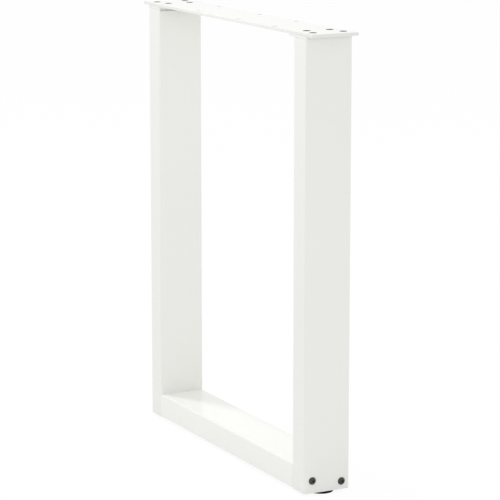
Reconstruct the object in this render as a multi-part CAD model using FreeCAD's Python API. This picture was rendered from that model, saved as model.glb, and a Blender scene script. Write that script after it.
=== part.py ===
import FreeCAD, Part
import os
from math import atan2, cos, hypot, radians, sin, tan

Vector = FreeCAD.Vector
Rotation = FreeCAD.Rotation

# U shaped table leg, in millimetres.
# X runs along the span, Y is the leg's depth and Z is up.
# The origin is on the floor, under the middle of the leg.

# Rectangular tube, the same for the uprights and the bar between them
tube_width = 80.0
tube_depth = 40.0
tube_wall = 2.0
tube_inner_radius = 1.0

# Frame
upright_span = 560.0
upright_length = 711.0

# Strip that carries the table top, as wide as the tube
strip_overhang = 20.0
strip_thickness = 5.0
strip_corner_radius = 1.5
strip_edge_radius = 0.7

# Flange welded on the top of each upright; only the right one shows a ledge inside the span
right_flange_ledge = 15.0
left_flange_ledge = 0.0
flange_thickness = 4.0
flange_corner_radius = 1.5
flange_edge_radius = 0.5

# Block under each flange that keeps it in place inside the upright
flange_block_height = 8.0

# Slot through the upright's inner wall, under the flange
slot_height = 3.4

# Holes in the strip for the table top's own screws, in two staggered rows
table_hole_radius = 4.5
table_hole_edge_distance = 7.5
table_hole_first = 135.0
table_hole_stagger = 50.0
table_hole_pitches = (125.0, 145.0)

# Countersunk screws that hold the strip on the flanges
top_screw_radius = 3.0
top_screw_head_radius = 6.0
top_screw_rim = 0.4
top_screw_socket = 4.0
top_screw_socket_depth = 1.9
top_screw_tip_inset = 0.4
top_screw_pair_margin = 4.5
top_screw_outer_margin = 14.0
top_screw_inner_margin = 20.0

# Screws through the uprights into the ends of the bar
bar_screw_radius = 3.0
bar_screw_head_radius = 6.0
bar_screw_head_height = 3.3
bar_screw_head_rim = 0.8
bar_screw_head_flat = 3.6
bar_screw_socket = 4.0
bar_screw_socket_depth = 2.2
bar_screw_margin = 14.0
bar_screw_front_height = 20.0
bar_screw_rear_height = 13.0
bar_screw_end = 3.0

# Ends of the bar, coped round the uprights' rounded corners
cope_reach = 2.0

# Plate and nuts inside each end of the bar
bar_plate_thickness = 4.0
bar_nut_flats = 10.0
bar_nut_height = 5.0

# Plate and nut inside the lower end of each upright
foot_plate_thickness = 4.0
foot_nut_flats = 13.0
foot_nut_height = 6.5

# Levelling feet, screwed right in
pad_height = 4.0
pad_edge_radius = 0.5
stem_radius = 4.0
stem_flange_radius = 9.0
stem_flange_height = 2.0
foot_travel = 10.0
stem_end = 4.0

# Clearances
plate_gap = 0.1
thread_gap = 0.05
bolt_hole_gap = 0.3
head_gap = 0.05
cope_gap = 0.15
block_gap = 1.0
pad_seat_gap = 0.1

# Details
end_chamfer = 0.6

# Sizes taken from the tube
strip_width = tube_width
top_screw_spacings = {
    "outer": strip_width - 2 * top_screw_outer_margin,
    "inner": strip_width - 2 * top_screw_inner_margin,
}
top_screw_pair_distance = tube_depth - 2 * top_screw_pair_margin
bar_screw_spacing = tube_width - 2 * bar_screw_margin
pad_radius = tube_depth / 2

# Levels
frame_bottom = pad_height
upright_top = frame_bottom + upright_length
flange_top = upright_top + flange_thickness
strip_top = flange_top + strip_thickness

# Places along the span, for the right side
outer_face = upright_span / 2
upright_x = outer_face - tube_depth / 2
inner_face = outer_face - tube_depth
strip_end = outer_face + strip_overhang
bar_length = 2 * inner_face
bar_z = frame_bottom + tube_depth / 2
bar_screw_levels = {
    "front": frame_bottom + bar_screw_front_height,
    "rear": frame_bottom + bar_screw_rear_height,
}

tube_outer_radius = tube_inner_radius + tube_wall
plate_corner_radius = tube_inner_radius - plate_gap
flange_ledges = {"right": right_flange_ledge, "left": left_flange_ledge}

along_x = Rotation(Vector(0, 0, 1), Vector(1, 0, 0))
upright_way = Rotation()
sides = {"right": 1, "left": -1}
rows = {"front": -1, "rear": 1}


def place(shape, x, y, z, turn=None):
    """A copy of a shape, turned about the origin and then moved."""
    moved = shape.copy()
    moved.Placement = FreeCAD.Placement(Vector(x, y, z), turn or upright_way)
    return moved


def rounded_outline(size_x, size_y, radius):
    """Closed outline of a rectangle with round corners, centred on the origin."""
    centre_x = size_x / 2 - radius
    centre_y = size_y / 2 - radius
    up = Vector(0, 0, 1)
    arcs = []
    for quarter, (way_x, way_y) in enumerate(((1, 1), (-1, 1), (-1, -1), (1, -1))):
        centre = Vector(way_x * centre_x, way_y * centre_y, 0)
        start = 90 * quarter
        arcs.append(Part.makeCircle(radius, centre, up, start, start + 90))
    edges = []
    for index, arc in enumerate(arcs):
        following = arcs[(index + 1) % len(arcs)]
        edges.append(arc)
        edges.append(Part.makeLine(arc.lastVertex().Point, following.firstVertex().Point))
    return Part.Wire(edges)


def rounded_block(size_x, size_y, height, radius):
    """Straight block with round upright corners, standing on the origin's level."""
    outline = rounded_outline(size_x, size_y, radius)
    return Part.Face(outline).extrude(Vector(0, 0, height))


def soften(block, height, radius):
    """Round the whole upper and lower outline of a block."""
    outline = []
    for edge in block.Edges:
        box = edge.BoundBox
        level = box.ZMax - box.ZMin < height / 4
        if level:
            outline.append(edge)
    return block.makeFillet(radius, outline)


def rectangular_tube(length):
    """Tube along Z with its wide faces square to X."""
    outside = rounded_block(tube_depth, tube_width, length, tube_outer_radius)
    inside_x = tube_depth - 2 * tube_wall
    inside_y = tube_width - 2 * tube_wall
    inside = rounded_block(inside_x, inside_y, length, tube_inner_radius)
    return outside.cut(inside)


def inner_plate(thickness, gap, corner_radius):
    """Plate inside the tube, with the same gap to all four walls."""
    size_x = tube_depth - 2 * tube_wall - 2 * gap
    size_y = tube_width - 2 * tube_wall - 2 * gap
    return rounded_block(size_x, size_y, thickness, corner_radius)


def hexagon(flats, height):
    """Hexagonal prism with two flats square to Y."""
    corner = flats / 2 / cos(radians(30))
    points = [Vector(corner * cos(radians(60 * n)), corner * sin(radians(60 * n)), 0) for n in range(7)]
    return Part.Face(Part.makePolygon(points)).extrude(Vector(0, 0, height))


def turned(points):
    """Solid turned about Z from a closed half outline of radii and heights."""
    outline = Part.makePolygon([Vector(radius, 0, height) for radius, height in points + points[:1]])
    return Part.Face(outline).revolve(Vector(0, 0, 0), Vector(0, 0, 1), 360)


def nut(flats, height, bore_radius):
    """Hexagon nut on the origin's level, with its corners turned off at 30 degrees."""
    corner = flats / 2 / cos(radians(30))
    drop = (corner - flats / 2) * tan(radians(30))
    envelope = turned([
        (0, 0),
        (flats / 2, 0),
        (corner, drop),
        (corner, height - drop),
        (flats / 2, height),
        (0, height),
    ])
    body = hexagon(flats, height).common(envelope)
    return body.cut(Part.makeCylinder(bore_radius, height))


def countersunk_screw(length):
    """Flat head screw that points down, with the head's face on the origin's level."""
    cone_end = top_screw_rim + top_screw_head_radius - top_screw_radius
    body = turned([
        (0, 0),
        (top_screw_head_radius, 0),
        (top_screw_head_radius, -top_screw_rim),
        (top_screw_radius, -cone_end),
        (top_screw_radius, end_chamfer - length),
        (top_screw_radius - end_chamfer, -length),
        (0, -length),
    ])
    socket = place(hexagon(top_screw_socket, top_screw_socket_depth), 0, 0, -top_screw_socket_depth)
    return body.cut(socket)


def countersink(depth):
    """Clearance hole and cone for one flat head screw, under the origin's level."""
    face_radius = top_screw_head_radius + head_gap
    hole_radius = top_screw_radius + bolt_hole_gap
    cone_end = top_screw_rim + face_radius - hole_radius
    return turned([
        (0, 0),
        (face_radius, 0),
        (face_radius, -top_screw_rim),
        (hole_radius, -cone_end),
        (hole_radius, -depth),
        (0, -depth),
    ])


def button_screw(length):
    """Round head screw that points up, with the head's seat on the origin's level."""
    rise = bar_screw_head_height
    rim = bar_screw_head_rim
    side = bar_screw_head_radius
    flat = bar_screw_head_flat
    edge = Vector(side, 0, -rim)
    top = Vector(flat, 0, -rise)
    # The crown is part of a ball whose centre lies on the screw's axis
    centre = (rise + rim - (side**2 - flat**2) / (rise - rim)) / 2
    crown_radius = hypot(side, rim - centre)
    middle = (atan2(rim - centre, side) + atan2(rise - centre, flat)) / 2
    bulge = Vector(crown_radius * cos(middle), 0, -centre - crown_radius * sin(middle))
    corners = [
        top,
        Vector(0, 0, -rise),
        Vector(0, 0, length),
        Vector(bar_screw_radius - end_chamfer, 0, length),
        Vector(bar_screw_radius, 0, length - end_chamfer),
        Vector(bar_screw_radius, 0, 0),
        Vector(side, 0, 0),
        edge,
    ]
    edges = [Part.makeLine(first, second) for first, second in zip(corners, corners[1:])]
    edges.append(Part.Arc(edge, bulge, top).toShape())
    body = Part.Face(Part.Wire(edges)).revolve(Vector(0, 0, 0), Vector(0, 0, 1), 360)
    socket = place(hexagon(bar_screw_socket, bar_screw_socket_depth), 0, 0, -rise)
    return body.cut(socket)


def top_screw_places(side):
    """Places of the four screws over one upright; the outer pair stands wider apart."""
    places = {}
    for pair, way in (("outer", 1), ("inner", -1)):
        x = side * (upright_x + way * top_screw_pair_distance / 2)
        for row, row_way in rows.items():
            places[pair + "_" + row] = (x, row_way * top_screw_spacings[pair] / 2)
    return places


def table_hole_places():
    """Places of the holes for the table top's screws, counted from the strip's right end."""
    places = []
    for row_way, stagger in ((-1, 0), (1, table_hole_stagger)):
        x = strip_end - table_hole_first - stagger
        y = row_way * (strip_width / 2 - table_hole_edge_distance)
        places.append((x, y))
        for pitch in table_hole_pitches:
            x = x - pitch
            places.append((x, y))
    return places


def bar_screw_places():
    """Depth and height of the two screws of a bar joint; the rear one is set lower."""
    return {row: (way * bar_screw_spacing / 2, bar_screw_levels[row]) for row, way in rows.items()}


def drill_for_bar_screws(piece, side):
    """Clearance holes along X for the two screws of one bar joint."""
    radius = bar_screw_radius + bolt_hole_gap
    length = tube_depth + bar_plate_thickness
    for y, z in bar_screw_places().values():
        start = Vector(side * outer_face, y, z)
        piece = piece.cut(Part.makeCylinder(radius, length, start, Vector(-side, 0, 0)))
    return piece


nodes = {}

# Top strip
strip = rounded_block(2 * strip_end, strip_width, strip_thickness, strip_corner_radius)
strip = soften(strip, strip_thickness, strip_edge_radius)
strip = place(strip, 0, 0, flange_top)
for side in sides.values():
    for x, y in top_screw_places(side).values():
        strip = strip.cut(place(countersink(strip_thickness), x, y, strip_top))
for x, y in table_hole_places():
    hole = Part.makeCylinder(table_hole_radius, strip_thickness)
    strip = strip.cut(place(hole, x, y, flange_top))
nodes["top_strip"] = strip

# Bar between the uprights, the same tube laid flat, with its ends coped to the uprights' outline
bar_blank = bar_length + 2 * cope_reach
bar = place(rectangular_tube(bar_blank), -bar_blank / 2, 0, bar_z, along_x)
for side in sides.values():
    cope = rounded_block(tube_depth, tube_width, tube_depth, tube_outer_radius - cope_gap)
    bar = bar.cut(place(cope, side * upright_x, 0, frame_bottom))
nodes["bottom_bar"] = bar

for name, side in sides.items():
    # Upright, drilled for the bar's screws, with the slot at the top of its inner face
    upright = place(rectangular_tube(upright_length), side * upright_x, 0, frame_bottom)
    upright = drill_for_bar_screws(upright, side)
    slot_length = tube_width - 2 * tube_outer_radius
    slot = Part.makeBox(tube_wall, slot_length, slot_height)
    slot_x = min(side * inner_face, side * (inner_face + tube_wall))
    upright = upright.cut(place(slot, slot_x, -slot_length / 2, upright_top - slot_height))
    nodes[name + "_upright"] = upright

    # Flange, flush with the upright's outer face, with a block that shows behind the slot
    flange_length = tube_depth + flange_ledges[name]
    flange = rounded_block(flange_length, strip_width, flange_thickness, flange_corner_radius)
    flange = soften(flange, flange_thickness, flange_edge_radius)
    flange = place(flange, side * (outer_face - flange_length / 2), 0, upright_top)
    tapped = Part.makeCylinder(top_screw_radius + thread_gap, flange_thickness)
    for x, y in top_screw_places(side).values():
        flange = flange.cut(place(tapped, x, y, upright_top))
    block = inner_plate(flange_block_height, block_gap, tube_inner_radius)
    block = place(block, side * upright_x, 0, upright_top - flange_block_height)
    nodes[name + "_top_flange"] = flange.fuse(block)

    # Strip screws
    screw_length = strip_thickness + flange_thickness - top_screw_tip_inset
    for label, (x, y) in top_screw_places(side).items():
        nodes[name + "_strip_screw_" + label] = place(countersunk_screw(screw_length), x, y, strip_top)

    # Plate inside the bar's end, with its two nuts behind it
    way = Rotation(Vector(0, 0, 1), Vector(side, 0, 0))
    plate_inside = inner_face - bar_plate_thickness
    plate = inner_plate(bar_plate_thickness, plate_gap, plate_corner_radius)
    plate = place(plate, side * plate_inside, 0, bar_z, way)
    nodes[name + "_bar_end_plate"] = drill_for_bar_screws(plate, side)
    screw_way = Rotation(Vector(0, 0, 1), Vector(-side, 0, 0))
    bar_screw_length = tube_depth + bar_plate_thickness + bar_nut_height + bar_screw_end
    for row, (y, z) in bar_screw_places().items():
        bar_nut = nut(bar_nut_flats, bar_nut_height, bar_screw_radius + thread_gap)
        nodes[name + "_bar_nut_" + row] = place(bar_nut, side * plate_inside, y, z, screw_way)
        bar_screw = button_screw(bar_screw_length)
        nodes[name + "_bar_screw_" + row] = place(bar_screw, side * outer_face, y, z, screw_way)

    # Plate and nut inside the upright's lower end
    foot_plate = inner_plate(foot_plate_thickness, plate_gap, plate_corner_radius)
    foot_plate = foot_plate.cut(Part.makeCylinder(stem_radius + bolt_hole_gap, foot_plate_thickness))
    nodes[name + "_foot_plate"] = place(foot_plate, side * upright_x, 0, frame_bottom)
    foot_nut = nut(foot_nut_flats, foot_nut_height, stem_radius + thread_gap)
    nodes[name + "_foot_nut"] = place(foot_nut, side * upright_x, 0, frame_bottom + foot_plate_thickness)

    # Threaded stem with a round flange that lies in the pad
    stem_bottom = pad_height - stem_flange_height
    stem_top = frame_bottom + foot_plate_thickness + foot_nut_height + foot_travel + stem_end
    stem = turned([
        (0, stem_bottom),
        (stem_flange_radius, stem_bottom),
        (stem_flange_radius, pad_height),
        (stem_radius, pad_height),
        (stem_radius, stem_top - end_chamfer),
        (stem_radius - end_chamfer, stem_top),
        (0, stem_top),
    ])
    nodes[name + "_foot_stem"] = place(stem, side * upright_x, 0, 0)

    # Pad
    pad = Part.makeCylinder(pad_radius, pad_height)
    rims = [edge for edge in pad.Edges if edge.BoundBox.ZLength < pad_height / 2]
    pad = pad.makeFillet(pad_edge_radius, rims)
    seat = Part.makeCylinder(stem_flange_radius + pad_seat_gap, stem_flange_height)
    pad = pad.cut(place(seat, 0, 0, stem_bottom))
    nodes[name + "_foot_pad"] = place(pad, side * upright_x, 0, 0)

os.makedirs("parts", exist_ok=True)
for node, shape in nodes.items():
    solids = shape.Solids
    whole = solids[0] if len(solids) == 1 else shape
    whole.exportStep("parts/" + node + ".step")
    print(node, len(solids), "solid", round(whole.Volume), "mm3", "valid", whole.isValid())
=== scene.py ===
from math import radians

import bpy
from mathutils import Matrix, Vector


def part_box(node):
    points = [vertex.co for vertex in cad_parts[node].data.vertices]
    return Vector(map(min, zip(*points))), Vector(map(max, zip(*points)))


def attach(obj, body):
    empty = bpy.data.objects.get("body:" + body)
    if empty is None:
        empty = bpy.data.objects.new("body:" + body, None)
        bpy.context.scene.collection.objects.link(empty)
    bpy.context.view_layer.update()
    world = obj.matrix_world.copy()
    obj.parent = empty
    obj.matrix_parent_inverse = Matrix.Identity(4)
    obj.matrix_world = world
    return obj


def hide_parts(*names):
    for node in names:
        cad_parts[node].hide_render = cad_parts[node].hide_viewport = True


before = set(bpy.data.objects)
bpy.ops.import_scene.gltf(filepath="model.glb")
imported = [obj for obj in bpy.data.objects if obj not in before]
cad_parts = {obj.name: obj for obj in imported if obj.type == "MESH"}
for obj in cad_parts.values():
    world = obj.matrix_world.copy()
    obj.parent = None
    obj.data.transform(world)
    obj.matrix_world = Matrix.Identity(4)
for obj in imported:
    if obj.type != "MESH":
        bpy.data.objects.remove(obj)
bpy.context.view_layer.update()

print("stage 1: frame loaded,", len(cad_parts), "nodes")

mm = 0.001

# The Mix node's colour sockets share their names with others, so they go by number
firstColour, secondColour, mixedColour = 6, 7, 2


# An sRGB hex colour turned to linear, by the standard curve
def toLinear(hexColour):
    values = []
    for start in (1, 3, 5):
        channel = int(hexColour[start:start + 2], 16) / 255
        if channel <= 0.04045:
            values.append(channel / 12.92)
        else:
            values.append(((channel + 0.055) / 1.055) ** 2.4)
    return (*values, 1.0)


# One function adds any node: sockets by name or number, settings, then links
def addNode(tree, kind, sockets={}, links={}, **settings):
    node = tree.nodes.new(kind)
    for name, value in settings.items():
        setattr(node, name, value)
    for name, value in sockets.items():
        node.inputs[name].default_value = value
    for name, source in links.items():
        tree.links.new(source, node.inputs[name])
    return node


def newMaterial(name):
    material = bpy.data.materials.new(name)
    material.use_nodes = True
    return material, material.node_tree, material.node_tree.nodes["Principled BSDF"]


# Camera at the photograph's place: a long lens, a little above the strip and to its right front
photoCamera = {
    "place": (3.4788, -1.7874, 1.1181),
    "downDegrees": 11.2588,
    "aroundDegrees": 62.6843,
    "lens": 175.077,
    "sensor": 36.0,
}
cameraData = bpy.data.cameras.new("photoCamera")
cameraData.sensor_width = photoCamera["sensor"]
cameraData.lens = photoCamera["lens"]
camera = bpy.data.objects.new("photoCamera", cameraData)
bpy.context.scene.collection.objects.link(camera)
camera.location = photoCamera["place"]
camera.rotation_euler = (radians(90 - photoCamera["downDegrees"]), 0,
                         radians(photoCamera["aroundDegrees"]))
bpy.context.scene.camera = camera
print("stage 2: camera set")


# Polyester powder coat, sprayed dry and baked: a warm white film that shines softly at a low angle,
# with a faint orange peel and a thickness that varies a little along a tube. The bar's coat is a
# little lighter and the strip's a little darker than the uprights': painted light and painted shade
powderCoat = {
    "tube": ("#EEEFEA", "#ECEDE8"),
    "bar": ("#F3F4EF", "#F1F2ED"),
    "strip": ("#E8E9E4", "#E6E7E2"),
    "cloud": 90 * mm,
    "roughness": (0.14, 0.2),
    "peel": 2.2 * mm,
    "peelDepth": 0.012 * mm,
    "grain": 0.35 * mm,
    "grainDepth": 0.003 * mm,
}


def makePowderCoat(name, colours):
    material, tree, shader = newMaterial(name)
    place = addNode(tree, "ShaderNodeTexCoord").outputs["Object"]
    cloud = addNode(tree, "ShaderNodeTexNoise",
                    {"Scale": 1 / powderCoat["cloud"], "Detail": 1.0}, {"Vector": place})
    colour = addNode(tree, "ShaderNodeMix",
                     {firstColour: toLinear(colours[0]), secondColour: toLinear(colours[1])},
                     {"Factor": cloud.outputs["Fac"]}, data_type="RGBA")
    tree.links.new(colour.outputs[mixedColour], shader.inputs["Base Color"])
    peel = addNode(tree, "ShaderNodeTexNoise",
                   {"Scale": 1 / powderCoat["peel"], "Detail": 1.0}, {"Vector": place})
    dull = addNode(tree, "ShaderNodeMapRange",
                   {"To Min": powderCoat["roughness"][0], "To Max": powderCoat["roughness"][1]},
                   {"Value": peel.outputs["Fac"]})
    tree.links.new(dull.outputs["Result"], shader.inputs["Roughness"])
    grain = addNode(tree, "ShaderNodeTexNoise",
                    {"Scale": 1 / powderCoat["grain"], "Detail": 0.0}, {"Vector": place})
    fine = addNode(tree, "ShaderNodeBump", {"Distance": powderCoat["grainDepth"]},
                   {"Height": grain.outputs["Fac"]})
    bump = addNode(tree, "ShaderNodeBump", {"Distance": powderCoat["peelDepth"]},
                   {"Height": peel.outputs["Fac"], "Normal": fine.outputs["Normal"]})
    tree.links.new(bump.outputs["Normal"], shader.inputs["Normal"])
    return material


# Phosphated steel, as on black socket screws: near black and porous. The strip's flat heads are
# dry and quite dull; the bar's round heads shine a little, and their grey base is partly their own
# tone and partly a painted sheen
blackScrew = {
    "flatHead": {"colours": ("#0B0B0C", "#161617"), "roughness": 0.8, "specular": 0.0},
    # The round heads' grey base colour is partly a painted sheen that stands in for their
    # highlights
    "roundHeadPaintedSheen": {"colours": ("#3A3A38", "#4A4A46"), "roughness": 0.55, "specular": 0.3},
    "grain": 0.25 * mm,
    "grainDepth": 0.006 * mm,
}


def makeBlackScrewSteel(name, head):
    material, tree, shader = newMaterial(name)
    shader.inputs["Roughness"].default_value = head["roughness"]
    shader.inputs["Specular IOR Level"].default_value = head["specular"]
    place = addNode(tree, "ShaderNodeTexCoord").outputs["Object"]
    grain = addNode(tree, "ShaderNodeTexNoise",
                    {"Scale": 1 / blackScrew["grain"], "Detail": 2.0}, {"Vector": place})
    colour = addNode(tree, "ShaderNodeMix",
                     {firstColour: toLinear(head["colours"][0]),
                      secondColour: toLinear(head["colours"][1])},
                     {"Factor": grain.outputs["Fac"]}, data_type="RGBA")
    tree.links.new(colour.outputs[mixedColour], shader.inputs["Base Color"])
    bump = addNode(tree, "ShaderNodeBump", {"Distance": blackScrew["grainDepth"]},
                   {"Height": grain.outputs["Fac"]})
    tree.links.new(bump.outputs["Normal"], shader.inputs["Normal"])
    return material


# Bright zinc plating on turned steel: cool silver with a fine satin scatter
zincPlate = {
    "colour": "#C3C7CB",
    "roughness": (0.26, 0.38),
    "spangle": 0.9 * mm,
}


def makeZincPlate():
    material, tree, shader = newMaterial("zincPlatedSteel")
    shader.inputs["Base Color"].default_value = toLinear(zincPlate["colour"])
    shader.inputs["Metallic"].default_value = 1.0
    place = addNode(tree, "ShaderNodeTexCoord").outputs["Object"]
    spangle = addNode(tree, "ShaderNodeTexNoise",
                      {"Scale": 1 / zincPlate["spangle"], "Detail": 3.0}, {"Vector": place})
    dull = addNode(tree, "ShaderNodeMapRange",
                   {"To Min": zincPlate["roughness"][0], "To Max": zincPlate["roughness"][1]},
                   {"Value": spangle.outputs["Fac"]})
    tree.links.new(dull.outputs["Result"], shader.inputs["Roughness"])
    return material


# Injection moulded black polyamide from a spark eroded tool: fine even pebbling, hardly any sheen
footPlastic = {
    "colours": ("#0E0E0D", "#161615"),
    "roughness": 0.8,
    "specular": 0.15,
    "pebble": 0.4 * mm,
    "pebbleDepth": 0.012 * mm,
}


def makeFootPlastic():
    material, tree, shader = newMaterial("mouldedBlackPolyamide")
    shader.inputs["Roughness"].default_value = footPlastic["roughness"]
    shader.inputs["Specular IOR Level"].default_value = footPlastic["specular"]
    place = addNode(tree, "ShaderNodeTexCoord").outputs["Object"]
    pebble = addNode(tree, "ShaderNodeTexVoronoi", {"Scale": 1 / footPlastic["pebble"]},
                     {"Vector": place}, feature="SMOOTH_F1")
    colour = addNode(tree, "ShaderNodeMix",
                     {firstColour: toLinear(footPlastic["colours"][0]),
                      secondColour: toLinear(footPlastic["colours"][1])},
                     {"Factor": pebble.outputs["Distance"]}, data_type="RGBA")
    tree.links.new(colour.outputs[mixedColour], shader.inputs["Base Color"])
    bump = addNode(tree, "ShaderNodeBump", {"Distance": footPlastic["pebbleDepth"]},
                   {"Height": pebble.outputs["Distance"]})
    tree.links.new(bump.outputs["Normal"], shader.inputs["Normal"])
    return material


# The bar's coat is painted lighter and the strip's darker than the uprights': painted light and
# painted shade
tubeCoat = makePowderCoat("whitePowderCoat", powderCoat["tube"])
barCoatPaintedLighter = makePowderCoat("whitePowderCoatOfBarPaintedLighter", powderCoat["bar"])
stripCoatPaintedDarker = makePowderCoat("whitePowderCoatOfStripPaintedDarker", powderCoat["strip"])
dryScrewSteel = makeBlackScrewSteel("phosphatedBlackSteel", blackScrew["flatHead"])
screwSteelWithPaintedSheen = makeBlackScrewSteel("phosphatedSteelWithPaintedSheen", blackScrew["roundHeadPaintedSheen"])
zinc = makeZincPlate()
plastic = makeFootPlastic()

# Each node's finish by a word in its name. Uprights, flanges and plates have the tube's coat
finishes = {
    "strip_screw": dryScrewSteel,
    "bar_screw": screwSteelWithPaintedSheen,
    "nut": zinc,
    "stem": zinc,
    "pad": plastic,
    "bottom_bar": barCoatPaintedLighter,
    "top_strip": stripCoatPaintedDarker,
}
for name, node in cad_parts.items():
    matching = [finish for word, finish in finishes.items() if word in name]
    node.data.materials.clear()
    node.data.materials.append(matching[0] if matching else tubeCoat)
print("stage 3: finishes on the nodes")


# Levelling foot's stem: a rolled M8 thread with flat crests, over a round flange that lies in the
# pad. The flats are shares of the pitch, and the thread starts some turns under the seat and ends
# above the top, where both cuts are clean
threadedStem = {
    "thread": 8 * mm,
    "pitch": 1.25 * mm,
    "depth": 0.767 * mm,
    "crestShare": 0.125,
    "rootShare": 0.25,
    "turnsBelowSeat": 1.5,
    "spareTurns": 4,
    "stepsPerTurn": 40,
    "mergeDistance": 0.01 * mm,
    "cutTolerance": 0.0001 * mm,
    "flangeDiameter": 18 * mm,
    "flangeHeight": 2 * mm,
    "flangeSides": 96,
    "flangeEdge": 0.25 * mm,
    "flangeEdgeSteps": 3,
    "smoothUnderDegrees": 25,
}


def makeThreadedStem(name, nodeName):
    low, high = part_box(nodeName)
    pitch = threadedStem["pitch"]
    depth = threadedStem["depth"]
    root = threadedStem["thread"] / 2 - depth
    flankShare = (1 - threadedStem["crestShare"] - threadedStem["rootShare"]) / 2
    seat = low.z + threadedStem["flangeHeight"] / 2

    # One pitch of the thread's outline, drawn upwards from a single point
    bpy.ops.object.select_all(action="DESELECT")
    bpy.ops.mesh.primitive_plane_add(size=pitch, enter_editmode=True, location=(0, 0, 0))
    bpy.ops.mesh.merge(type="CENTER")
    bpy.ops.transform.translate(value=(root, 0, seat - threadedStem["turnsBelowSeat"] * pitch))
    for outwards, share in ((0, threadedStem["rootShare"]), (1, flankShare),
                            (0, threadedStem["crestShare"]), (-1, flankShare)):
        bpy.ops.mesh.extrude_region_move(
            TRANSFORM_OT_translate={"value": (outwards * depth, 0, share * pitch)})
    bpy.ops.object.mode_set(mode="OBJECT")
    stem = bpy.context.object
    stem.name = name

    # The outline wound up into the whole thread, whose turns are then merged
    wound = stem.modifiers.new("wound", "SCREW")
    wound.axis = "Z"
    wound.screw_offset = pitch
    wound.iterations = int((high.z - seat) / pitch) + threadedStem["spareTurns"]
    wound.steps = threadedStem["stepsPerTurn"]
    wound.render_steps = threadedStem["stepsPerTurn"]
    bpy.ops.object.modifier_apply(modifier="wound")
    bpy.ops.object.mode_set(mode="EDIT")
    bpy.ops.mesh.select_all(action="SELECT")
    bpy.ops.mesh.remove_doubles(threshold=threadedStem["mergeDistance"])

    # Both ends cut square and closed, with a tolerance well under the thread's steps
    bpy.ops.mesh.bisect(plane_co=(0, 0, seat), plane_no=(0, 0, 1), use_fill=True,
                        clear_inner=True, threshold=threadedStem["cutTolerance"])
    bpy.ops.mesh.select_all(action="SELECT")
    bpy.ops.mesh.bisect(plane_co=(0, 0, high.z), plane_no=(0, 0, 1), use_fill=True,
                        clear_outer=True, threshold=threadedStem["cutTolerance"])
    bpy.ops.mesh.select_all(action="SELECT")
    bpy.ops.mesh.normals_make_consistent(inside=False)
    bpy.ops.object.mode_set(mode="OBJECT")

    # The flange, with its edges rounded, joined to the thread that stands on its middle plane
    bpy.ops.object.select_all(action="DESELECT")
    bpy.ops.mesh.primitive_cylinder_add(
        vertices=threadedStem["flangeSides"], radius=threadedStem["flangeDiameter"] / 2,
        depth=threadedStem["flangeHeight"], location=(0, 0, seat))
    flange = bpy.context.object
    edge = flange.modifiers.new("edge", "BEVEL")
    edge.width = threadedStem["flangeEdge"]
    edge.segments = threadedStem["flangeEdgeSteps"]
    bpy.ops.object.modifier_apply(modifier="edge")
    bpy.ops.object.transform_apply(location=True)
    stem.select_set(True)
    bpy.context.view_layer.objects.active = stem
    bpy.ops.object.join()

    # Moved over to its foot within the mesh, so that the object stays at the origin
    bpy.ops.object.mode_set(mode="EDIT")
    bpy.ops.mesh.select_all(action="SELECT")
    bpy.ops.transform.translate(value=((low.x + high.x) / 2, (low.y + high.y) / 2, 0))
    bpy.ops.object.mode_set(mode="OBJECT")
    bpy.ops.object.shade_smooth_by_angle(angle=radians(threadedStem["smoothUnderDegrees"]))
    stem.data.materials.clear()
    stem.data.materials.append(zinc)
    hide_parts(nodeName)
    return stem


for side in ("right", "left"):
    stem = makeThreadedStem(side + "ThreadedStem", side + "_foot_stem")
    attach(stem, side + "_foot")
    print("stage 4:", stem.name, "made with", len(stem.data.polygons), "faces")


# Floor and surroundings: white to the eye and to reflections, a little duller as a source of light
stage = {
    "floorSize": 60.0,
    "floorBounce": "#F6F6F6",
    "floorSeen": "#FFFFFF",
    "floorGlow": 0.92,
    "skyLight": 0.835,
    "skySeen": 1.0,
}


# 1 where the eye, a reflection or a view through something meets the surface, 0 for plain light
def addSeenByEye(tree):
    path = addNode(tree, "ShaderNodeLightPath")
    seen = path.outputs["Is Camera Ray"]
    for ray in ("Is Glossy Ray", "Is Transmission Ray"):
        either = addNode(tree, "ShaderNodeMath", {}, {0: seen, 1: path.outputs[ray]},
                         operation="MAXIMUM")
        seen = either.outputs["Value"]
    return seen


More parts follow.
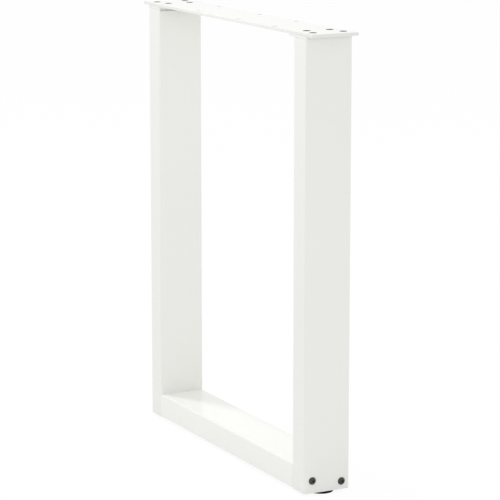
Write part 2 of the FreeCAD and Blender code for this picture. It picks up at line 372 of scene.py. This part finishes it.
bpy.ops.object.select_all(action="DESELECT")
bpy.ops.mesh.primitive_plane_add(size=stage["floorSize"], location=(0, 0, 0))
floor = bpy.context.object
floor.name = "floor"
floorMaterial, tree, shader = newMaterial("paleFloor")
seen = addSeenByEye(tree)
floorColour = addNode(tree, "ShaderNodeMix",
                      {firstColour: toLinear(stage["floorBounce"]),
                       secondColour: toLinear(stage["floorSeen"])},
                      {"Factor": seen}, data_type="RGBA")
tree.links.new(floorColour.outputs[mixedColour], shader.inputs["Base Color"])
shader.inputs["Roughness"].default_value = 1.0
shader.inputs["Specular IOR Level"].default_value = 0.0
glow = addNode(tree, "ShaderNodeEmission", {"Strength": 1.0})
share = addNode(tree, "ShaderNodeMath", {1: stage["floorGlow"]}, {0: seen}, operation="MULTIPLY")
floorMix = addNode(tree, "ShaderNodeMixShader", {},
                   {0: share.outputs["Value"], 1: shader.outputs["BSDF"],
                    2: glow.outputs["Emission"]})
tree.links.new(floorMix.outputs["Shader"], tree.nodes["Material Output"].inputs["Surface"])
floor.data.materials.append(floorMaterial)

world = bpy.data.worlds.new("whiteStudio")
bpy.context.scene.world = world
world.use_nodes = True
tree = world.node_tree
background = tree.nodes["Background"]
background.inputs["Color"].default_value = (1, 1, 1, 1)
level = addNode(tree, "ShaderNodeMapRange",
                {"To Min": stage["skyLight"], "To Max": stage["skySeen"]},
                {"Value": addSeenByEye(tree)})
tree.links.new(level.outputs["Result"], background.inputs["Strength"])

# Five soft boxes, all turned to the leg's middle: the key high up at the left front, two weak ones
# close in front, a large one on the right at the leg's height, and a weak one behind, a little
# above the strip, where the bar's top doesn't mirror it to a low view from the front
lamps = {
    "keySoftBox": {"place": (-1.6, -0.69, 6.2), "size": 0.35, "power": 71.2},
    "frontSoftBox": {"place": (-0.1, -0.6, 1.0), "size": 0.5, "power": 0.59},
    "smallSoftBox": {"place": (0.1, -0.45, 0.95), "size": 0.3, "power": 0.29},
    "rightSoftBox": {"place": (1.6, 0.1, 0.6), "size": 1.2, "power": 1.3},
    "rearSoftBox": {"place": (0.1, 0.9, 0.9), "size": 0.6, "power": 0.9},
}
legMiddle = Vector((0, 0, 0.36))
for name, lamp in lamps.items():
    lampData = bpy.data.lights.new(name, "AREA")
    lampData.size = lamp["size"]
    lampData.energy = lamp["power"]
    lampObject = bpy.data.objects.new(name, lampData)
    bpy.context.scene.collection.objects.link(lampObject)
    lampObject.location = lamp["place"]
    towardsLeg = legMiddle - Vector(lamp["place"])
    lampObject.rotation_euler = towardsLeg.to_track_quat("-Z", "Y").to_euler()
bpy.context.scene.view_settings.view_transform = "Standard"
print("stage 5: floor, surroundings and lamps set")
